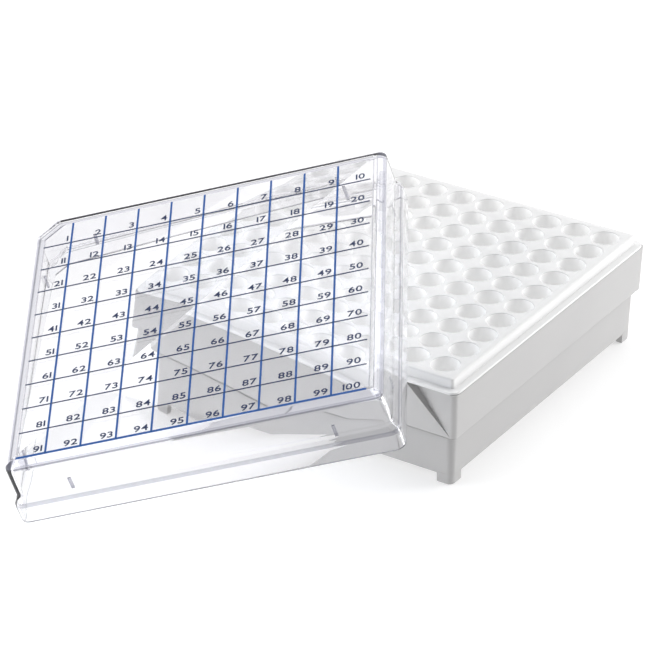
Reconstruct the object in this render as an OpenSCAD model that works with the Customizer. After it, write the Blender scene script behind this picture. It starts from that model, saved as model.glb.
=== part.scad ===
// Cryogenic storage box: a base with a hundred wells and a clear lid that leans on it.

/* [Wells] */
// Wells along each side of the plate
well_count = 10; // [4:1:12]
// Distance between well centres
well_pitch = 12.36; // [10:0.01:18]
// Bore of each well
well_d = 10.64; // [8:0.01:11.5]
// Wall of the sleeve below each well
sleeve_wall = 0.6; // [0.5:0.05:1]
// Length of the sleeves below the top of the plate
sleeve_len = 21; // [12:0.5:30]
// Distance from the outer well centres to the side of the base
edge_margin = 10.88; // [9.5:0.01:20]

/* [Base] */
// Height of the ledge around the wells
ledge_h = 39; // [34:0.5:60]
// Height of the seam between tray and shell
seam_h = 19.3; // [15:0.1:25]
// Height of the four corner feet
foot_h = 3.45; // [2:0.05:6]
// Length of each foot along the side
foot_len = 6.2; // [4:0.1:12]
// Thickness of the foot ribs
foot_wall = 2.6; // [1.6:0.1:4]
// Thickness of the walls of tray and shell
base_wall = 2.2; // [1.6:0.1:3]
// Thickness of the tray floor
floor_t = 2; // [1.2:0.1:4]
// How far the shell stands out past the tray
shell_step = 2; // [1:0.1:3]
// How far each outer wall leans in from top to bottom
draft = 0.7; // [0.2:0.1:1.5]
// Height of the shadow groove at the seam
seam_gap = 0.8; // [0.4:0.1:1.5]
// Radius of the vertical corners of the base
corner_r = 2; // [1.5:0.5:8]
// Radius along the bottom edge of the shell
shell_foot_r = 1; // [0.6:0.1:3]

/* [Well plate] */
// Thickness of the flange that covers the shell
flange_t = 1; // [0.8:0.1:2]
// Height of the raised deck above the ledge
deck_rise = 3.8; // [2:0.1:6]
// Thickness of the deck
deck_t = 1.6; // [1:0.1:3]
// Width of the ledge around the deck
ledge_w = 2.8; // [2:0.1:5]
// Radius of the vertical corners of the deck
deck_r = 1.2; // [0.5:0.1:4]
// Leg of the deck's keyed corner
deck_key = 5.5; // [2:0.5:7]

/* [Finger recess] */
// Length of the recess along the ledge
recess_len = 18.5; // [10:0.5:30]
// Depth of the recess at its deep end
recess_depth = 3.8; // [1:0.1:4.5]
// Thickness of the wall behind the recess
recess_wall = 1.2; // [0.8:0.1:2]
// Distance from the recess to the corner of the base
recess_end = 1.6; // [1:0.1:4]

/* [Lid] */
// Depth of the lid from its top to the rim
lid_depth = 25.3; // [20:0.1:40]
// Height of the upright rim
rim_h = 7; // [5:0.1:10]
// Height of the curved step above the rim
step_h = 3.3; // [2:0.1:6]
// Thickness of the lid's walls
lid_wall = 1.4; // [1:0.1:2.5]
// Thickness of the lid's top
lid_top_t = 2; // [1.2:0.1:3]
// Clearance between the rim and the base
lid_clear = 0.25; // [0.15:0.05:0.6]
// Clearance between the lid's upper wall and the deck
deck_clear = 1.2; // [0.5:0.1:2]
// Height of the bevel around the lid's top
bevel_h = 2.2; // [1:0.1:4]
// Width of the bevel around the lid's top
bevel_w = 2.9; // [1:0.1:4]
// Width of the inner bevel below the lid's top
inner_bevel_w = 3.3; // [1:0.1:5]
// Leg of the keyed corner at the first position
key_leg = 7; // [3:0.5:9]
// Radius of the lid's vertical corners
lid_r = 3.5; // [2:0.5:8]
// Width of each guide rib
rib_w = 1.1; // [0.8:0.1:2]
// Height of each guide rib
rib_h = 5; // [3:0.5:9]
// How far each guide rib stands in from the wall
rib_t = 0.7; // [0.4:0.1:1]

/* [Printed grid] */
// Distance between the printed lines
grid_pitch = 12.51; // [10:0.01:18]
// Width of the lines between columns
column_line_w = 0.75; // [0.3:0.05:1.5]
// Width of the lines between rows
row_line_w = 0.5; // [0.3:0.05:1.5]
// Thickness of the ink
ink_t = 0.1; // [0.05:0.05:0.2]
// How far the grid is printed to the right of the lid's middle
grid_shift_x = -1.1; // [-2:0.1:2]
// How far the grid is printed above the lid's middle
grid_shift_y = -0.9; // [-2:0.1:2]

/* [Leaning lid] */
// Tilt of the lid about its reading direction
lean_x = 11.91; // [8:0.01:16]
// Tilt of the lid about its column direction
lean_y = -14.83; // [-20:0.01:-10]
// Turn of the lid about the vertical
lean_z = 28.97; // [20:0.01:40]
// Gap left where the lid leans on the base and the table
lean_gap = 0.3; // [0.1:0.05:0.6]

/* [Hidden] */
$fn = 48;
slab = 0.01;
over = 1;

span = (well_count - 1) * well_pitch;
base_half = span / 2 + edge_margin;
deck_top = ledge_h + deck_rise;
deck_half = base_half - ledge_w;
flange_half = base_half - 0.1;
shell_top = ledge_h - flange_t;
sleeve_d = well_d + 2 * sleeve_wall;

shell_in = base_half - base_wall;
shell_low = base_half - draft;
shell_bottom = seam_h + seam_gap;
tray_top_half = shell_low - shell_step + 0.2;
tray_low_half = tray_top_half - draft;
tray_in = tray_top_half - base_wall + 0.2;
seat_in = tray_in - 0.7;
seat_out = tray_top_half - 0.4;
seat_t = 2.2;

recess_x0 = base_half - recess_end - recess_len;
recess_x1 = base_half - recess_end;

rim_in = base_half + lid_clear;
rim_out = rim_in + lid_wall;
upper_in = deck_half + deck_clear;
upper_out = upper_in + lid_wall;
top_half = upper_out - bevel_w;
inner_top_half = upper_in - inner_bevel_w;
inner_bevel_h = 2;
wall_draft = 0.2;
knee_z = -(lid_depth - rim_h - step_h);
shoulder_z = -(lid_depth - rim_h);

// Directions of the leaning lid's own axes
cx = cos(lean_x);
sx = sin(lean_x);
cy = cos(lean_y);
sy = sin(lean_y);
cz = cos(lean_z);
sz = sin(lean_z);
lid_u = [cz * cy, sz * cy, -sy];
lid_v = [cz * sy * sx - sz * cx, sz * sy * sx + cz * cx, cy * sx];
lid_n = [cz * sy * cx + sz * sx, sz * sy * cx - cz * sx, cy * cx];

// The rim's lowest corner stands on the table
slope = norm([lid_u.z, lid_v.z]);
corner_c = rim_out - lid_r;
low_corner = [
    -corner_c - lid_r * lid_u.z / slope,
    -corner_c - lid_r * lid_v.z / slope
];
lean_place_z = lean_gap + lid_depth * lid_n.z - low_corner.x * lid_u.z - low_corner.y * lid_v.z;
// Two sides of the rim lie on the front and left edges of the deck
rest_z = deck_top + lean_gap;
right_edge = rim_in * lid_u - lid_depth * lid_n;
back_edge = rim_in * lid_v - lid_depth * lid_n;
right_climb = lid_v.z / lid_v.y;
back_climb = lid_u.z / lid_u.x;
lean_place_y = -deck_half - right_edge.y - (rest_z - lean_place_z - right_edge.z) / right_climb;
lean_place_x = -deck_half - back_edge.x - (rest_z - lean_place_z - back_edge.z) / back_climb;

// Square outline with round corners
module rounded(half, r) {
    square([2 * half, 2 * (half - r)], center = true);
    square([2 * (half - r), 2 * half], center = true);
    for (x = [-1, 1], y = [-1, 1])
        translate([x * (half - r), y * (half - r)])
            circle(r);
}

// The same outline with the corner at the first position cut off
module keyed(half, r, leg) {
    difference() {
        rounded(half, r);
        polygon([
            [-half - over, half - leg - over],
            [-half + leg + over, half + over],
            [-half - over, half + over]
        ]);
    }
}

// Thin slice of a keyed outline at height z, for the drafted walls
module slice(half, r, leg, z) {
    translate([0, 0, z])
        linear_extrude(slab)
            keyed(half, r, leg);
}

module feet() {
    inner = tray_low_half - foot_wall;
    reach = tray_low_half - foot_len;
    linear_extrude(foot_h + floor_t / 2)
        intersection() {
            difference() {
                keyed(tray_low_half, corner_r, key_leg);
                keyed(inner, 1, key_leg);
            }
            union() {
                for (x = [-1, 1], y = [-1, 1])
                    translate([x * (reach + base_half), y * (reach + base_half)])
                        square(2 * base_half, center = true);
                translate([-reach - base_half + key_leg / 2, reach + base_half - key_leg / 2])
                    square(2 * base_half, center = true);
            }
        }
}

module base_tray() {
    color([0.80, 0.80, 0.80]) {
        difference() {
            hull() {
                slice(tray_low_half, corner_r, key_leg, foot_h);
                slice(tray_top_half, corner_r, key_leg, seam_h - slab);
            }
            translate([0, 0, foot_h + floor_t])
                linear_extrude(seam_h)
                    keyed(tray_in, corner_r, key_leg);
        }
        feet();
    }
}

// Triangular hollow below the ledge, deep at one end and running out at the corner
module recess(grow) {
    intersection() {
        translate([0, -base_half + recess_depth + grow + over, 0])
            rotate([90, 0, 0])
                linear_extrude(recess_depth + grow + 2 * over)
                    polygon([
                        [recess_x0 - grow, shell_top + (grow > 0 ? 0 : over)],
                        [recess_x1, shell_top + (grow > 0 ? 0 : over)],
                        [recess_x1, shell_bottom + shell_foot_r],
                        [recess_x0 - grow, shell_top]
                    ]);
        linear_extrude(shell_top + over)
            polygon([
                [recess_x0 - 2 * grow, -base_half - (grow > 0 ? -draft : over)],
                [recess_x1, -base_half - (grow > 0 ? -draft : over)],
                [recess_x1, -base_half + grow],
                [recess_x0 - 2 * grow, -base_half + recess_depth + grow]
            ]);
    }
}

module base_shell() {
    color([0.84, 0.84, 0.84])
        difference() {
            union() {
                difference() {
                    union() {
                        hull() {
                            slice(shell_low, corner_r, key_leg, shell_bottom + shell_foot_r);
                            slice(base_half, corner_r, key_leg, shell_top - slab);
                        }
                        hull() {
                            slice(shell_low - shell_foot_r, corner_r, key_leg, shell_bottom);
                            slice(shell_low, corner_r, key_leg, shell_bottom + shell_foot_r);
                        }
                        translate([0, 0, seam_h])
                            linear_extrude(seam_gap + over)
                                keyed(seat_out, corner_r, key_leg);
                    }
                    translate([0, 0, seam_h + seat_t])
                        linear_extrude(ledge_h)
                            keyed(shell_in, corner_r, key_leg);
                    translate([0, 0, seam_h - over])
                        linear_extrude(ledge_h)
                            keyed(seat_in, corner_r, key_leg);
                }
                recess(recess_wall);
            }
            recess(0);
        }
}

module at_wells() {
    for (i = [0:well_count - 1], j = [0:well_count - 1])
        translate([i * well_pitch - span / 2, j * well_pitch - span / 2])
            children();
}

module well_plate() {
    color([0.95, 0.95, 0.94])
        difference() {
            union() {
                difference() {
                    union() {
                        translate([0, 0, shell_top])
                            linear_extrude(flange_t)
                                keyed(flange_half, corner_r, key_leg);
                        translate([0, 0, shell_top])
                            linear_extrude(deck_top - shell_top)
                                keyed(deck_half, deck_r, deck_key);
                    }
                    translate([0, 0, shell_top - over])
                        linear_extrude(deck_top - deck_t - shell_top + over)
                            keyed(deck_half - deck_t, deck_r, deck_key - deck_t);
                }
                translate([0, 0, deck_top - sleeve_len])
                    linear_extrude(sleeve_len - deck_t / 2)
                        at_wells()
                            circle(d = sleeve_d);
            }
            translate([0, 0, deck_top - sleeve_len - over])
                linear_extrude(sleeve_len + 2 * over)
                    at_wells()
                        circle(d = well_d);
        }
}

// Places the lid's own frame, whose origin is the middle of its top
module leaning() {
    translate([lean_place_x, lean_place_y, lean_place_z])
        rotate([lean_x, lean_y, lean_z])
            children();
}

module lid_outside() {
    hull() {
        slice(top_half, lid_r, key_leg, -slab);
        slice(upper_out - wall_draft, lid_r, key_leg, -bevel_h);
    }
    hull() {
        slice(upper_out - wall_draft, lid_r, key_leg, -bevel_h);
        slice(upper_out, lid_r, key_leg, knee_z);
    }
    hull() {
        slice(upper_out, lid_r, key_leg, knee_z);
        slice(rim_out, lid_r, key_leg, shoulder_z);
    }
    translate([0, 0, -lid_depth])
        linear_extrude(rim_h)
            keyed(rim_out, lid_r, key_leg);
}

module lid_inside() {
    r = lid_r - lid_wall;
    hull() {
        slice(inner_top_half, r, key_leg, -lid_top_t - slab);
        slice(upper_in - wall_draft, r, key_leg, -lid_top_t - inner_bevel_h);
    }
    hull() {
        slice(upper_in - wall_draft, r, key_leg, -lid_top_t - inner_bevel_h);
        slice(upper_in, r, key_leg, knee_z - lid_wall / 2);
    }
    hull() {
        slice(upper_in, r, key_leg, knee_z - lid_wall / 2);
        slice(rim_in, r, key_leg, shoulder_z - lid_wall / 2);
    }
    translate([0, 0, -lid_depth - over])
        linear_extrude(rim_h - lid_wall / 2 + over)
            keyed(rim_in, r, key_leg);
}

// Short upright ribs inside the walls, a seventh of the way in from each corner
module lid_ribs() {
    place = 2 * upper_in / 7 * 2.5;
    for (a = [0, 90, 180, 270], s = [-1, 1])
        rotate(a)
            translate([s * place - rib_w / 2, upper_in - rib_t, knee_z])
                cube([rib_w, rib_t + lid_wall / 2, rib_h]);
}

module lid_shell() {
    color([0.85, 0.90, 0.95, 0.4])
        leaning() {
            difference() {
                lid_outside();
                lid_inside();
            }
            lid_ribs();
        }
}

module lid_print() {
    half = well_count / 2 * grid_pitch;
    row_half = half - 0.16 * grid_pitch;
    column_top = half - 0.1 * grid_pitch;
    color([0.10, 0.30, 0.62])
        leaning()
            translate([grid_shift_x, grid_shift_y, 0])
                linear_extrude(ink_t) {
                    for (i = [1:well_count - 1])
                        translate([i * grid_pitch - half - column_line_w / 2, -half])
                            square([column_line_w, half + column_top]);
                    for (j = [0:well_count - 1])
                        translate([-row_half, j * grid_pitch - half - row_line_w / 2])
                            square([2 * row_half, row_line_w]);
                }
}

base_tray();
base_shell();
well_plate();
lid_shell();
lid_print();
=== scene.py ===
import math

import bmesh
import bpy
from mathutils import Euler, Matrix, Vector
from mathutils.geometry import delaunay_2d_cdt


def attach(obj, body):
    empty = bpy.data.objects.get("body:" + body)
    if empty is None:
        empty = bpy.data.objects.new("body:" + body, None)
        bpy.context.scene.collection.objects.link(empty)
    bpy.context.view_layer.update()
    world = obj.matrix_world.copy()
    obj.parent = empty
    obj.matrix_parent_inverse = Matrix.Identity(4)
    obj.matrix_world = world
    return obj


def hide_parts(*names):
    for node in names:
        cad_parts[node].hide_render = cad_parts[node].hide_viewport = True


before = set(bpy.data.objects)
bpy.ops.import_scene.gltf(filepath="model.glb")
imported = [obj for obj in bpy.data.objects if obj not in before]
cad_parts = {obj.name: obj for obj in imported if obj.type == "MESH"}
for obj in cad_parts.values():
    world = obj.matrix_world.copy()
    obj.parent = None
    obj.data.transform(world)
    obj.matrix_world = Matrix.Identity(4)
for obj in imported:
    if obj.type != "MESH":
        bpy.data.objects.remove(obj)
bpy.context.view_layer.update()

MM = 0.001

# Sizes of the moulded pieces, in millimetres
WELLS = 10
WELL_PITCH = 12.36
WELL_RADIUS = 5.32
WELL_DEPTH = 21.0
SLEEVE_WALL = 0.6
BASE_HALF = 66.5
DECK_HALF = 63.7
DECK_TOP = 42.8
DECK_WALL = 1.6
LEDGE = 39.0
FLANGE_LOW = 38.0
SHELL_LOW = 20.1
TRAY_TOP = 19.3
TRAY_HALF = 63.3
FOOT = 3.45
FOOT_WALL = 2.6
FOOT_LENGTH = 6.2
KEYED_FOOT_LENGTH = 10.5
FOOT_CORNER = 2.3
KEY = 7.0
FOOT_KEY = KEY * 0.97
RECESS_START = 64.4
RECESS_LENGTH = 17.9
RECESS_DEPTH = 3.8
RIM_HALF = 68.15
RIM_INSIDE = 66.75
SPAN = (WELLS - 1) * WELL_PITCH

# Where the clear lid leans: the middle of its top, and its turn
LID_PLACE = Vector((-28.368903, -82.336497, 54.811567))
LID_TURN = Euler([math.radians(a) for a in (11.91, -14.83, 28.97)], "XYZ").to_matrix()

# The printed grid: its pitch, and how far its middle lies from the middle of the lid's top
GRID_PITCH = 12.51
GRID_RIGHT = -1.1
GRID_UP = -0.9

# Places of the finishes in each piece's list of materials
WALL, SEAM_SHADOW_BAND = 0, 1
DECK, BORE = 0, 1
CLEAR, SHADED_EDGE, GLOWING_BEVEL = 0, 1, 2
DARK, BLUE = 0, 1


def outline(half, radius, key=KEY, steps=8, bend=1.2):
    """Square with round corners and one corner cut off, as points that run anticlockwise."""
    points = []

    def arc(cx, cy, r, start, end, n):
        for k in range(n + 1):
            a = math.radians(start + (end - start) * k / n)
            points.append((cx + r * math.cos(a), cy + r * math.sin(a)))

    inner = half - radius
    arc(inner, inner, radius, 0, 90, steps)
    trim = bend * math.tan(math.radians(22.5))
    arc(-half + key + trim, half - bend, bend, 90, 135, steps // 2)
    arc(-half + bend, half - key - trim, bend, 135, 180, steps // 2)
    arc(-inner, -inner, radius, 180, 270, steps)
    arc(inner, -inner, radius, 270, 360, steps)
    return points


class Maker:
    """Collects the faces of one piece and turns them into an object."""

    def __init__(self):
        self.mesh = bmesh.new()

    def ring(self, points, z):
        return [self.mesh.verts.new((x * MM, y * MM, z * MM)) for x, y in points]

    def face(self, verts, smooth=True, finish=0):
        made = self.mesh.faces.new(verts)
        made.smooth = smooth
        made.material_index = finish
        return made

    def skin(self, lower, upper, skip=(), finish=0):
        count = len(lower)
        for k in range(count):
            if k in skip:
                continue
            m = (k + 1) % count
            self.face((lower[k], lower[m], upper[m], upper[k]), finish=finish)

    def cap(self, ring, up):
        self.face(ring if up else list(reversed(ring)), smooth=False)

    def box(self, low, high, finish=0):
        """A plain block between two corners, such as a rib or a printed line."""
        corners = [(low[0], low[1]), (high[0], low[1]), (high[0], high[1]), (low[0], high[1])]
        under, over = self.ring(corners, low[2]), self.ring(corners, high[2])
        for k in range(4):
            m = (k + 1) % 4
            self.face((under[k], under[m], over[m], over[k]), smooth=False, finish=finish)
        self.face(over, smooth=False, finish=finish)
        self.face(under[::-1], smooth=False, finish=finish)

    def done(self, name, body, materials, crease=32.0, place=None):
        mesh = bpy.data.meshes.new(name)
        self.mesh.to_mesh(mesh)
        self.mesh.free()
        if place is not None:
            mesh.transform(place)
        mesh.set_sharp_from_angle(angle=math.radians(crease))
        for material in materials:
            mesh.materials.append(material)
        piece = bpy.data.objects.new(name, mesh)
        bpy.context.scene.collection.objects.link(piece)
        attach(piece, body)
        return piece


# ---------------------------------------------------------------- materials


def socket(tree, name, kind, into, value=None):
    made = tree.interface.new_socket(name=name, in_out="INPUT" if into else "OUTPUT", socket_type=kind)
    if value is not None:
        made.default_value = value
    return made


def moulding_group():
    """Fine orange peel, slow flow marks and a slight unevenness of gloss on moulded plastic."""
    tree = bpy.data.node_groups.new("moulding", "ShaderNodeTree")
    socket(tree, "Colour", "NodeSocketColor", True, (0.8, 0.8, 0.8, 1))
    socket(tree, "Shade", "NodeSocketColor", True, (0.7, 0.7, 0.7, 1))
    socket(tree, "Gloss", "NodeSocketFloat", True, 0.35)
    socket(tree, "Grain", "NodeSocketFloat", True, 900.0)
    socket(tree, "Relief", "NodeSocketFloat", True, 0.05)
    socket(tree, "Colour", "NodeSocketColor", False)
    socket(tree, "Roughness", "NodeSocketFloat", False)
    socket(tree, "Normal", "NodeSocketVector", False)
    add, link = tree.nodes.new, tree.links.new
    given, out = add("NodeGroupInput"), add("NodeGroupOutput")
    where = add("ShaderNodeTexCoord")
    flow = add("ShaderNodeTexNoise")
    flow.inputs["Scale"].default_value = 28.0
    flow.inputs["Detail"].default_value = 3.0
    flow.inputs["Distortion"].default_value = 0.6
    link(where.outputs["Object"], flow.inputs["Vector"])
    grain = add("ShaderNodeTexNoise")
    grain.inputs["Detail"].default_value = 2.0
    link(where.outputs["Object"], grain.inputs["Vector"])
    link(given.outputs["Grain"], grain.inputs["Scale"])
    tint = add("ShaderNodeMix")
    tint.data_type = "RGBA"
    link(flow.outputs["Fac"], tint.inputs["Factor"])
    link(given.outputs["Colour"], tint.inputs["A"])
    link(given.outputs["Shade"], tint.inputs["B"])
    link(tint.outputs["Result"], out.inputs["Colour"])
    uneven = add("ShaderNodeMath")
    uneven.operation = "MULTIPLY_ADD"
    link(flow.outputs["Fac"], uneven.inputs[0])
    uneven.inputs[1].default_value = 0.12
    link(given.outputs["Gloss"], uneven.inputs[2])
    link(uneven.outputs["Value"], out.inputs["Roughness"])
    bump = add("ShaderNodeBump")
    bump.inputs["Distance"].default_value = 0.0002
    link(given.outputs["Relief"], bump.inputs["Strength"])
    link(grain.outputs["Fac"], bump.inputs["Height"])
    link(bump.outputs["Normal"], out.inputs["Normal"])
    return tree


def plastic(name, group, colour, shade, gloss, grain, relief, coat=0.0):
    """Opaque moulded plastic."""
    material = bpy.data.materials.new(name)
    material.use_nodes = True
    nodes, link = material.node_tree.nodes, material.node_tree.links.new
    shader = nodes["Principled BSDF"]
    look = nodes.new("ShaderNodeGroup")
    look.node_tree = group
    look.inputs["Colour"].default_value = (*colour, 1)
    look.inputs["Shade"].default_value = (*shade, 1)
    look.inputs["Gloss"].default_value = gloss
    look.inputs["Grain"].default_value = grain
    look.inputs["Relief"].default_value = relief
    link(look.outputs["Colour"], shader.inputs["Base Color"])
    link(look.outputs["Roughness"], shader.inputs["Roughness"])
    link(look.outputs["Normal"], shader.inputs["Normal"])
    shader.inputs["IOR"].default_value = 1.5
    shader.inputs["Coat Weight"].default_value = coat
    shader.inputs["Coat Roughness"].default_value = 0.06
    return material


def clear_plastic(name, group, colour, shade, glow):
    """Clear styrene: bright reflections, bent light in its edges, and pale shadows."""
    material = bpy.data.materials.new(name)
    material.use_nodes = True
    nodes, link = material.node_tree.nodes, material.node_tree.links.new
    shader = nodes["Principled BSDF"]
    out = nodes["Material Output"]
    look = nodes.new("ShaderNodeGroup")
    look.node_tree = group
    look.inputs["Colour"].default_value = (*colour, 1)
    look.inputs["Shade"].default_value = (*shade, 1)
    look.inputs["Gloss"].default_value = -0.04
    look.inputs["Grain"].default_value = 60.0
    look.inputs["Relief"].default_value = 0.03
    link(look.outputs["Colour"], shader.inputs["Base Color"])
    link(look.outputs["Roughness"], shader.inputs["Roughness"])
    link(look.outputs["Normal"], shader.inputs["Normal"])
    shader.inputs["IOR"].default_value = 1.57
    # Painted glow: where glow is above nought the clear plastic gives off a grey-blue light of its own
    shader.inputs["Emission Color"].default_value = (0.55, 0.56, 0.68, 1)
    shader.inputs["Emission Strength"].default_value = glow
    shader.inputs["Transmission Weight"].default_value = 1.0
    shader.inputs["Metallic"].default_value = 0.0
    through = nodes.new("ShaderNodeBsdfTransparent")
    through.inputs["Color"].default_value = (0.84, 0.855, 0.875, 1)
    choose = nodes.new("ShaderNodeMixShader")
    rays = nodes.new("ShaderNodeLightPath")
    link(rays.outputs["Is Shadow Ray"], choose.inputs["Fac"])
    link(shader.outputs["BSDF"], choose.inputs[1])
    link(through.outputs["BSDF"], choose.inputs[2])
    link(choose.outputs["Shader"], out.inputs["Surface"])
    return material


def printing_ink(name, group, colour, shade):
    """Screen-printed ink, a little uneven in cover."""
    return plastic(name, group, colour, shade, gloss=0.38, grain=1500.0, relief=0.1)


moulding = moulding_group()
grey_skin = {"group": moulding, "grain": 1100.0, "relief": 0.10}
white_skin = {"group": moulding, "grain": 500.0, "relief": 0.05}
tray_colour, tray_shade = (0.50, 0.495, 0.49), (0.47, 0.465, 0.465)
shell_colour, shell_shade = (0.51, 0.505, 0.50), (0.48, 0.475, 0.475)
# Painted shade: a dark grey on the bands under the shell's lower edge, for the shadow in the seam
seam_painted_shadow, seam_painted_shadow_mottle = (0.14, 0.14, 0.145), (0.11, 0.11, 0.115)
tray_grey = plastic("tray_grey", colour=tray_colour, shade=tray_shade, gloss=0.26, **grey_skin)
shell_grey = plastic("shell_grey", colour=shell_colour, shade=shell_shade, gloss=0.24, **grey_skin)
seam_painted_shade = plastic("seam_painted_shade", colour=seam_painted_shadow, shade=seam_painted_shadow_mottle, gloss=0.5, **grey_skin)
deck_colour, deck_shade = (0.86, 0.86, 0.855), (0.83, 0.83, 0.83)
# Painted light: the bores are painted whiter than the deck of the same plastic
bore_glow_colour, bore_glow_shade = (0.985, 0.985, 0.98), (0.96, 0.96, 0.96)
plate_white = plastic("plate_white", colour=deck_colour, shade=deck_shade, gloss=0.10, coat=0.5, **white_skin)
bore_painted_glow = plastic("bore_painted_glow", colour=bore_glow_colour, shade=bore_glow_shade, gloss=0.14, **white_skin)
# Painted glow: the bores give off light of their own, for light that comes through the thin white sleeves
# from all sides
bore_glow_shader = bore_painted_glow.node_tree.nodes["Principled BSDF"]
bore_glow_shader.inputs["Emission Color"].default_value = (1, 1, 1, 1)
bore_glow_shader.inputs["Emission Strength"].default_value = 0.12
styrene, styrene_shade = (0.93, 0.935, 0.955), (0.95, 0.94, 0.95)
# Painted shade: the edge finish is a dark grey-blue with a faint glow, for the dark lines that bent light
# draws along the lid's rounded edges
edge_painted_shade, edge_painted_shade_mottle = (0.33, 0.33, 0.37), (0.40, 0.40, 0.44)
clear = clear_plastic("clear_styrene", moulding, styrene, styrene_shade, glow=0.0)
clear_painted_shade = clear_plastic("clear_styrene_painted_shade", moulding, edge_painted_shade, edge_painted_shade_mottle, glow=0.06)
# Painted light: the bevel finish glows, lighting up the bevel round the lid's top
clear_painted_glow = clear_plastic("clear_styrene_painted_glow", moulding, styrene, styrene_shade, glow=0.25)
blue_ink = printing_ink("blue_ink", moulding, (0.002, 0.075, 0.31), (0.003, 0.095, 0.37))
dark_ink = printing_ink("dark_ink", moulding, (0.006, 0.02, 0.075), (0.01, 0.03, 0.11))


# ---------------------------------------------------------------- base


def profile_rings(maker, profile, radius):
    """Lofts a profile of (half, height) pairs round the outline. Returns its rings."""
    least = 0.4
    rings = [maker.ring(outline(half, max(least, radius + half - profile[0][0])), z) for half, z in profile]
    for low, high in zip(rings, rings[1:]):
        maker.skin(low, high)
    return rings


def make_tray():
    maker = Maker()
    # Up the outside from the rounded lower edge, over the top and down the inside to the floor
    profile = [(62.6, FOOT), (62.95, FOOT + 0.06), (63.2, FOOT + 0.25), (TRAY_HALF, FOOT + 0.6)]
    profile += [(63.98, TRAY_TOP - 0.5), (63.92, TRAY_TOP - 0.2), (63.7, TRAY_TOP)]
    profile += [(61.7, TRAY_TOP), (61.5, TRAY_TOP - 0.2)]
    profile += [(61.3, FOOT + 3.0), (60.9, FOOT + 2.3), (60.2, FOOT + 2.0)]
    rings = profile_rings(maker, profile, radius=1.6)
    maker.cap(rings[0], up=False)
    maker.cap(rings[-1], up=True)
    return maker.done("tray", "base", [tray_grey])


def foot_ring(inset, lean, sx, sy, length, keyed):
    """Outline of one corner foot, in from its sides by inset."""
    half = TRAY_HALF - lean - inset
    inner = TRAY_HALF - FOOT_WALL + inset
    end = TRAY_HALF - length + inset
    points = []
    if keyed:
        cut = half - FOOT_KEY + inset * 0.4
        points += [(cut, half), (half, cut)]
    else:
        r = FOOT_CORNER - inset
        steps = 8
        for k in range(steps + 1):
            a = math.radians(90 - 90 * k / steps)
            points.append((half - r + r * math.cos(a), half - r + r * math.sin(a)))
    points += [(half, end), (inner, end)]
    if keyed:
        points += [(inner, inner - FOOT_KEY), (inner - FOOT_KEY, inner)]
    else:
        points += [(inner, inner)]
    points += [(end, inner), (end, half)]
    turned = [(x * sx, y * sy) for x, y in points]
    return turned if sx * sy < 0 else turned[::-1]


def make_feet():
    maker = Maker()
    taper, proud = 0.12, 0.01
    for sx, sy in ((1, 1), (-1, 1), (-1, -1), (1, -1)):
        keyed = (sx, sy) == (-1, 1)
        length = KEYED_FOOT_LENGTH if keyed else FOOT_LENGTH
        rings = []
        # A rounded sole, then sides that widen with height and end a little way up the tray's wall
        for inset, z in ((0.42, 0.0), (0.16, 0.1), (0.03, 0.34), (0.0, 0.7), (0.0, FOOT + 0.75)):
            lean = taper * (1 - z / FOOT) - proud
            rings.append(maker.ring(foot_ring(inset, lean, sx, sy, length, keyed), z))
        for low, high in zip(rings, rings[1:]):
            maker.skin(low, high)
        maker.cap(rings[0], up=False)
        maker.cap(rings[-1], up=True)
    return maker.done("feet", "base", [tray_grey])


def make_shell():
    maker = Maker()
    low_half, top_half, inner_half = 65.8, 66.46, 62.0
    radius, inner_radius, least = 2.0, 1.0, 0.6
    # The lip that stands on the tray's top, the gap of the seam, and the rounded lower edge
    profile = [(inner_half, TRAY_TOP), (63.6, TRAY_TOP), (63.6, SHELL_LOW), (64.3, SHELL_LOW)]
    profile += [(64.95, SHELL_LOW), (65.4, SHELL_LOW + 0.14), (65.68, SHELL_LOW + 0.42)]
    profile += [(low_half, SHELL_LOW + 0.9)]
    # All but the band above the rounded edge is painted dark grey, as painted shade for the shadow in the
    # seam
    shaded = len(profile) - 2
    rings = [maker.ring(outline(half, max(least, radius + half - low_half)), z) for half, z in profile]
    for k, (low, high) in enumerate(zip(rings, rings[1:])):
        maker.skin(low, high, finish=SEAM_SHADOW_BAND if k < shaded else WALL)
    wall_low = rings[-1]
    wall_top = maker.ring(outline(top_half, radius), FLANGE_LOW)
    rim = maker.ring(outline(inner_half, inner_radius), FLANGE_LOW)
    bottom = rings[0]
    # The side with the finger recess runs from the end of one corner to the start of the next
    near_wall, long_run = -65 * MM, 50 * MM
    for side, start in enumerate(wall_low):
        after = (side + 1) % len(wall_low)
        end = wall_low[after]
        if start.co.y < near_wall and end.co.y < near_wall and end.co.x - start.co.x > long_run:
            break
    maker.skin(wall_low, wall_top, skip=(side,))
    maker.skin(wall_top, rim, skip=(side,))
    maker.skin(rim, bottom)
    # The recess: two slanted faces that meet in a fold from the lower corner to its deepest point
    recess_end = RECESS_START - RECESS_LENGTH
    edge = maker.mesh.verts.new((recess_end * MM, -top_half * MM, FLANGE_LOW * MM))
    deepest = maker.mesh.verts.new((recess_end * MM, (RECESS_DEPTH - top_half) * MM, FLANGE_LOW * MM))
    left_low, left_top = wall_low[side], wall_top[side]
    right_low, right_top = wall_low[after], wall_top[after]
    maker.face((left_low, right_low, edge, left_top))
    maker.face((right_low, deepest, edge), smooth=False)
    maker.face((right_low, right_top, deepest), smooth=False)
    maker.face((left_top, edge, deepest, right_top, rim[after], rim[side]), smooth=False)
    return maker.done("shell", "base", [shell_grey, seam_painted_shade])


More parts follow.
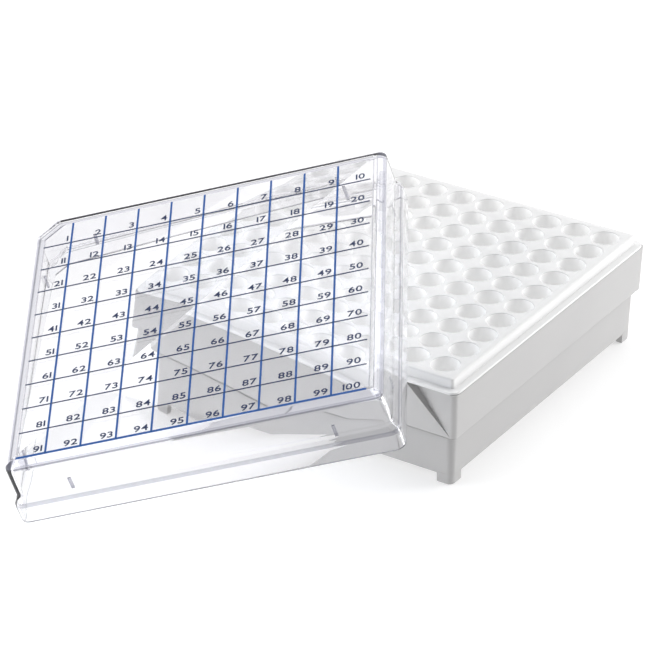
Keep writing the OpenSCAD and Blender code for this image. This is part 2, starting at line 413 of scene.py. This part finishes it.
def make_plate():
    maker = Maker()
    # Rounded deck edge, step down to the flange, the flange's edge, and the undersides
    profile = [(DECK_HALF - 0.9, DECK_TOP), (DECK_HALF - 0.56, DECK_TOP - 0.06)]
    profile += [(DECK_HALF - 0.26, DECK_TOP - 0.26), (DECK_HALF - 0.06, DECK_TOP - 0.56)]
    profile += [(DECK_HALF, DECK_TOP - 0.9), (DECK_HALF, LEDGE + 0.35)]
    profile += [(DECK_HALF + 0.1, LEDGE + 0.1), (DECK_HALF + 0.35, LEDGE), (BASE_HALF - 0.55, LEDGE)]
    profile += [(BASE_HALF - 0.24, LEDGE - 0.12), (BASE_HALF - 0.1, LEDGE - 0.4)]
    profile += [(BASE_HALF - 0.08, FLANGE_LOW + 0.2), (BASE_HALF - 0.25, FLANGE_LOW)]
    profile += [(DECK_HALF - 1.4, FLANGE_LOW), (DECK_HALF - 1.4, DECK_TOP - DECK_WALL)]
    corner, least = 1.2, 0.35
    deck_key, skirt_key = 5.5, 4.0
    rings = []
    for half, z in profile:
        radius = corner + max(0.0, half - DECK_HALF) * 0.85
        if half < DECK_HALF:
            radius = max(least, corner - (DECK_HALF - half))
        key = skirt_key if half < DECK_HALF - 1 else deck_key + 0.586 * (half - DECK_HALF)
        rings.append(maker.ring(outline(half, radius, key), z))
    for high, low in zip(rings, rings[1:]):
        maker.skin(low, high)
    # Wells: a rounded mouth, a smooth bore and a sleeve that is open below
    around = 40
    mouth, draft = 0.3, 0.03
    low_end = DECK_TOP - WELL_DEPTH
    sleeve = WELL_RADIUS + SLEEVE_WALL
    steps = [(WELL_RADIUS + mouth, DECK_TOP), (WELL_RADIUS + 0.16, DECK_TOP - 0.03)]
    steps += [(WELL_RADIUS + 0.06, DECK_TOP - 0.1), (WELL_RADIUS + 0.01, DECK_TOP - 0.22)]
    steps += [(WELL_RADIUS, DECK_TOP - 0.4), (WELL_RADIUS - draft, low_end + 0.3)]
    steps += [(WELL_RADIUS + 0.15, low_end), (sleeve - 0.12, low_end)]
    steps += [(sleeve, low_end + 0.2), (sleeve, DECK_TOP - DECK_WALL)]
    bore = steps.index((WELL_RADIUS, DECK_TOP - 0.4))
    mouths, roots = [], []
    for i in range(WELLS):
        for j in range(WELLS):
            cx, cy = i * WELL_PITCH - SPAN / 2, j * WELL_PITCH - SPAN / 2
            circles = []
            for radius, z in steps:
                points = []
                for k in range(around):
                    a = 2 * math.pi * k / around
                    points.append((cx + radius * math.cos(a), cy + radius * math.sin(a)))
                circles.append(maker.ring(points, z))
            # A well's wall faces its middle, so the upper ring goes in as the lower one
            for k, (upper, lower) in enumerate(zip(circles, circles[1:])):
                maker.skin(upper, lower, finish=BORE if k == bore else DECK)
            mouths.append(circles[0])
            roots.append(circles[-1])
    # The deck's top and underside, as triangles between the outer ring and the wells
    for loops, outer, up in ((mouths, rings[0], True), (roots, rings[-1], False)):
        verts = list(outer)
        edges = [(k, (k + 1) % len(outer)) for k in range(len(outer))]
        for loop in loops:
            start = len(verts)
            verts += loop
            edges += [(start + k, start + (k + 1) % len(loop)) for k in range(len(loop))]
        flat = [Vector((v.co.x, v.co.y)) * 1000 for v in verts]
        points, _, triangles, origin, _, _ = delaunay_2d_cdt(flat, edges, [], 1, 1e-6)
        hole = (WELL_RADIUS + (mouth - 0.05 if up else SLEEVE_WALL - 0.1)) ** 2
        for triangle in triangles:
            middle = sum((points[k] for k in triangle), Vector((0, 0))) / 3
            gx = round((middle.x + SPAN / 2) / WELL_PITCH) * WELL_PITCH - SPAN / 2
            gy = round((middle.y + SPAN / 2) / WELL_PITCH) * WELL_PITCH - SPAN / 2
            if (middle.x - gx) ** 2 + (middle.y - gy) ** 2 < hole:
                continue
            corners = [verts[origin[k][0]] for k in triangle]
            if len(set(corners)) == 3:
                maker.face(corners if up else corners[::-1], smooth=False)
    return maker.done("plate", "base", [plate_white, bore_painted_glow])


# ---------------------------------------------------------------- lid

lid_place = Matrix.Translation(LID_PLACE * MM) @ LID_TURN.to_4x4()


def make_lid():
    maker = Maker()
    # Points of the profile, each with the finish of the band from it to the next point.
    # Outside: edge of the top and bevel, wall, step out to the rim, and rim
    # Bands in the bevel finish glow, as painted light
    # Bands in the edge finish are painted dark, as painted shade for the lines that bent light draws there
    outer = [(63.3, 0.0, SHADED_EDGE), (63.75, -0.08, GLOWING_BEVEL), (64.4, -0.42, GLOWING_BEVEL), (65.15, -1.05, GLOWING_BEVEL)]
    outer += [(65.8, -1.75, GLOWING_BEVEL), (66.1, -2.3, SHADED_EDGE), (66.18, -3.0, CLEAR), (66.28, -9.0, CLEAR)]
    outer += [(66.3, -14.3, CLEAR), (66.4, -14.9, CLEAR), (66.65, -15.5, CLEAR), (67.15, -16.35, CLEAR)]
    outer += [(67.7, -17.15, CLEAR), (67.98, -17.75, SHADED_EDGE), (68.1, -18.4, CLEAR), (RIM_HALF, -19.4, CLEAR)]
    outer += [(RIM_HALF, -24.85, SHADED_EDGE), (68.07, -25.15, SHADED_EDGE), (67.85, -25.3, CLEAR)]
    # Inside: rim, step in to the wall, wall, and the rounded corner under the top
    inner = [(67.0, -25.3, SHADED_EDGE), (66.82, -25.17, CLEAR), (RIM_INSIDE, -24.9, CLEAR)]
    inner += [(RIM_INSIDE, -19.2, CLEAR), (66.62, -18.6, SHADED_EDGE), (66.25, -17.95, CLEAR)]
    inner += [(65.65, -17.1, CLEAR), (65.15, -16.2, CLEAR)]
    inner += [(64.98, -15.4, CLEAR), (64.9, -14.6, CLEAR), (64.72, -4.7, CLEAR), (64.5, -3.9, SHADED_EDGE)]
    inner += [(63.9, -3.2, CLEAR), (62.9, -2.6, CLEAR), (61.95, -2.1, SHADED_EDGE), (61.5, -2.0, CLEAR)]
    key_bend = 1.6
    corner, inner_corner, least = 3.6, 2.2, 0.5
    rings = []
    for half, z, _ in outer:
        radius = corner + (half - RIM_HALF) * 0.75
        rings.append(maker.ring(outline(half, radius, bend=key_bend), z))
    for half, z, _ in inner:
        radius = max(least, inner_corner + (half - RIM_INSIDE) * 0.3)
        rings.append(maker.ring(outline(half, radius, bend=key_bend), z))
    for (_, _, finish), high, low in zip(outer + inner, rings, rings[1:]):
        maker.skin(low, high, finish=finish)
    maker.cap(rings[0], up=True)
    maker.cap(rings[-1], up=False)
    # A short upright rib near both ends of each wall, painted dark in the edge finish as painted shade
    along, deep, wide, thick = 46.36, 64.8, 1.1, 0.7
    rib_low, rib_high = -16.4, -11.4
    for turn in range(4):
        for way in (-1, 1):
            x, y = way * along, deep - thick / 2
            for _ in range(turn):
                x, y = -y, x
            dx, dy = (wide / 2, thick / 2) if turn % 2 == 0 else (thick / 2, wide / 2)
            maker.box((x - dx, y - dy, rib_low), (x + dx, y + dy, rib_high), finish=SHADED_EDGE)
    finishes = [clear, clear_painted_shade, clear_painted_glow]
    return maker.done("lid", "lid", finishes, crease=40.0, place=lid_place)


# ---------------------------------------------------------------- printed numbers


def digit_shapes():
    """Flat meshes of the ten digits, as (points, faces, width, height)."""
    shapes = {}
    for digit in "0123456789":
        curve = bpy.data.curves.new("digit", "FONT")
        curve.body = digit
        curve.resolution_u = 6
        curve.offset = 0.012
        holder = bpy.data.objects.new("digit", curve)
        bpy.context.scene.collection.objects.link(holder)
        bpy.context.view_layer.update()
        mesh = bpy.data.meshes.new_from_object(holder)
        points = [v.co.copy() for v in mesh.vertices]
        faces = [tuple(p.vertices) for p in mesh.polygons]
        low = min(p.x for p in points)
        high = max(p.x for p in points)
        tall = max(p.y for p in points)
        shapes[digit] = ([Vector((p.x - low, p.y, 0)) for p in points], faces, high - low, tall)
        bpy.data.objects.remove(holder)
        bpy.data.meshes.remove(mesh)
        bpy.data.curves.remove(curve)
    return shapes


def make_print():
    """The grid of lines and the position numbers on top of the lid."""
    shapes = digit_shapes()
    maker = Maker()
    thick = 0.1
    half = WELLS / 2 * GRID_PITCH
    left, low = GRID_RIGHT - half, GRID_UP - half
    # Half widths of the lines, and how far they reach from the grid's middle
    column_line, row_line, lowest_line = 0.375, 0.27, 0.5
    reach, past = half - 0.16 * GRID_PITCH, 1.6
    top = half - 0.1 * GRID_PITCH
    for line in range(1, WELLS):
        x = left + line * GRID_PITCH
        maker.box((x - column_line, low, 0), (x + column_line, GRID_UP + top, thick), finish=BLUE)
    for line in range(WELLS):
        y = low + line * GRID_PITCH
        wide, ink = (lowest_line, BLUE) if line == 0 else (row_line, DARK)
        ends = GRID_RIGHT - reach, GRID_RIGHT + reach + past
        maker.box((ends[0], y - wide, 0), (ends[1], y + wide, thick), finish=ink)
    # Numbers stand at the lower right of their cells, and further in along the last column
    height, stretch, gap = 2.85, 1.22, 0.42
    margin, last_margin, lift = 1.25, 2.5, 1.35
    for row in range(WELLS):
        for column in range(WELLS):
            text = str(row * WELLS + column + 1)
            right = left + (column + 1) * GRID_PITCH - (last_margin if column == WELLS - 1 else margin)
            base = GRID_UP + half - (row + 1) * GRID_PITCH + lift
            for digit in reversed(text):
                points, faces, width, tall = shapes[digit]
                size = height / tall
                right -= width * size * stretch
                spots = [(right + p.x * size * stretch, base + p.y * size) for p in points]
                for z, up in ((thick, True), (0.0, False)):
                    verts = maker.ring(spots, z)
                    for f in faces:
                        corners = [verts[k] for k in f]
                        maker.face(corners if up else corners[::-1], smooth=False)
                right -= gap
    return maker.done("print", "lid", [dark_ink, blue_ink], place=lid_place)


tray = make_tray()
feet = make_feet()
shell = make_shell()
plate = make_plate()
lid = make_lid()
printing = make_print()
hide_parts("base_tray")
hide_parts("base_shell")
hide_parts("well_plate")
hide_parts("lid_shell")
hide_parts("lid_print")


# ---------------------------------------------------------------- floor, light and camera


def make_floor():
    mesh = bpy.data.meshes.new("floor")
    reach = 15.0
    corners = [(-reach, -reach, 0), (reach, -reach, 0), (reach, reach, 0), (-reach, reach, 0)]
    mesh.from_pydata(corners, [], [(0, 1, 2, 3)])
    material = bpy.data.materials.new("pale_floor")
    material.use_nodes = True
    shader = material.node_tree.nodes["Principled BSDF"]
    shader.inputs["Base Color"].default_value = (0.60, 0.60, 0.60, 1)
    shader.inputs["Roughness"].default_value = 0.9
    shader.inputs["Emission Color"].default_value = (1, 1, 1, 1)
    shader.inputs["Emission Strength"].default_value = 0.50
    mesh.materials.append(material)
    floor = bpy.data.objects.new("floor", mesh)
    bpy.context.scene.collection.objects.link(floor)


def area_light(name, place, aim, size, power, shine=True):
    """A soft light. Without shine it lights the pieces but doesn't show in their gloss."""
    data = bpy.data.lights.new(name, "AREA")
    data.shape = "RECTANGLE"
    data.size, data.size_y = size
    data.energy = power
    lamp = bpy.data.objects.new(name, data)
    lamp.location = place
    lamp.visible_glossy = shine
    lamp.rotation_euler = (Vector(aim) - Vector(place)).to_track_quat("-Z", "Y").to_euler()
    bpy.context.scene.collection.objects.link(lamp)


def ramp(nodes, start, end, low, high):
    """A node that goes from low to high while its value goes from start to end."""
    node = nodes.new("ShaderNodeMapRange")
    node.inputs["From Min"].default_value = start
    node.inputs["From Max"].default_value = end
    node.inputs["To Min"].default_value = low
    node.inputs["To Max"].default_value = high
    return node


def studio():
    """A bright backdrop behind the box, and a dimmer room in front of it and overhead."""
    world = bpy.data.worlds.new("studio")
    world.use_nodes = True
    nodes, link = world.node_tree.nodes, world.node_tree.links.new
    behind = (-0.556, 0.831, 0.0)
    where = nodes.new("ShaderNodeTexCoord")
    facing = nodes.new("ShaderNodeVectorMath")
    facing.operation = "DOT_PRODUCT"
    facing.inputs[1].default_value = behind
    bright = ramp(nodes, -0.2, 0.5, low=0.25, high=0.75)
    split = nodes.new("ShaderNodeSeparateXYZ")
    upward = ramp(nodes, 0.45, 0.62, low=1.0, high=0.25)
    both = nodes.new("ShaderNodeMath")
    both.operation = "MULTIPLY"
    link(where.outputs["Generated"], facing.inputs[0])
    link(facing.outputs["Value"], bright.inputs["Value"])
    link(where.outputs["Generated"], split.inputs["Vector"])
    link(split.outputs["Z"], upward.inputs["Value"])
    link(bright.outputs["Result"], both.inputs[0])
    link(upward.outputs["Result"], both.inputs[1])
    link(both.outputs["Value"], nodes["Background"].inputs["Strength"])
    nodes["Background"].inputs["Color"].default_value = (0.98, 0.98, 1.0, 1)
    bpy.context.scene.world = world
    middle, side_panel = (0, 0, 0.03), (0.7, 0.9)
    area_light("overhead", (-0.2, 0.3, 1.5), aim=(0, 0, 0), size=(1.6, 1.6), power=15.0)
    area_light("right", (0.86, 0.84, 0.45), middle, side_panel, power=13.5, shine=False)
    area_light("left", (-0.86, -0.84, 0.45), middle, side_panel, power=9.5, shine=False)


def make_camera():
    azimuth, elevation, roll = (math.radians(a) for a in (33.804, 28.777, -0.669))
    distance, sideways, upwards = 1.27997, -0.026009, 0.013836
    flat = math.cos(elevation)
    back = Vector((math.sin(azimuth) * flat, -math.cos(azimuth) * flat, math.sin(elevation)))
    level = Vector((math.cos(azimuth), math.sin(azimuth), 0))
    upright = back.cross(level)
    right = math.cos(roll) * level + math.sin(roll) * upright
    up = math.cos(roll) * upright - math.sin(roll) * level
    data = bpy.data.cameras.new("camera")
    data.sensor_width = 36.0
    data.lens = 192.45
    data.clip_start, data.clip_end = 0.05, 50.0
    camera = bpy.data.objects.new("camera", data)
    place = back * distance + right * sideways + up * upwards
    axes = Matrix((right, up, back)).transposed()
    camera.matrix_world = Matrix.Translation(place) @ axes.to_4x4()
    bpy.context.scene.collection.objects.link(camera)
    bpy.context.scene.camera = camera


make_floor()
studio()
make_camera()
bpy.context.scene.view_settings.view_transform = "Standard"
